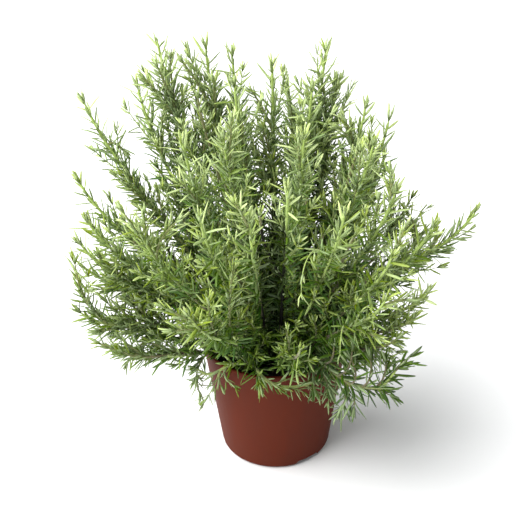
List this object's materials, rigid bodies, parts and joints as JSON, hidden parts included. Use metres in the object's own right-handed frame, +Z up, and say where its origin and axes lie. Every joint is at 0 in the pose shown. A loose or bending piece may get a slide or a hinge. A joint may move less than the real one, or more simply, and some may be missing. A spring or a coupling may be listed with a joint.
{
  "type": "potted rosemary plant",
  "caption": "Rosemary bush with narrow needle leaves on upright and arching stems, rooted in compost in a tapered round nursery pot that stands on its own foot ring.",
  "frame": {"origin": "on the pot's axis, at the surface that the pot stands on", "axes": "+Z up along the pot's axis, -Y towards the front of the plant, +X to the right seen from the front"},
  "size_m": [0.315, 0.2645, 0.3481],
  "materials": {
    "pot": "moulded terracotta-brown polypropylene, satin",
    "compost": "dark moist peat and bark compost, crumbly",
    "foliage": "evergreen needle leaves, yellow-green at the tips and grey-green inside, on green to woody stems"
  },
  "bodies": {
    "root": {"pot": "pot", "soil": "compost", "trailing_shoot_1": "foliage", "trailing_shoot_2": "foliage", "trailing_shoot_3": "foliage", "shoot_1": "foliage", "shoot_2": "foliage", "shoot_3": "foliage", "shoot_4": "foliage", "shoot_5": "foliage", "shoot_6": "foliage", "shoot_7": "foliage", "shoot_8": "foliage", "shoot_9": "foliage", "shoot_10": "foliage", "shoot_11": "foliage", "shoot_12": "foliage", "shoot_13": "foliage", "shoot_14": "foliage", "shoot_15": "foliage", "shoot_16": "foliage", "shoot_17": "foliage", "shoot_18": "foliage", "shoot_19": "foliage", "shoot_20": "foliage", "shoot_21": "foliage", "shoot_22": "foliage", "shoot_23": "foliage", "shoot_24": "foliage", "shoot_25": "foliage", "shoot_26": "foliage", "shoot_27": "foliage", "shoot_28": "foliage", "shoot_29": "foliage", "shoot_30": "foliage", "shoot_31": "foliage", "shoot_32": "foliage", "shoot_33": "foliage", "shoot_34": "foliage", "shoot_35": "foliage", "shoot_36": "foliage", "shoot_37": "foliage", "shoot_38": "foliage", "shoot_39": "foliage", "shoot_40": "foliage", "shoot_41": "foliage", "shoot_42": "foliage", "shoot_43": "foliage", "shoot_44": "foliage", "shoot_45": "foliage", "shoot_46": "foliage", "shoot_47": "foliage", "shoot_48": "foliage", "shoot_49": "foliage", "shoot_50": "foliage", "shoot_51": "foliage", "shoot_52": "foliage"}
  },
  "joints": []
}
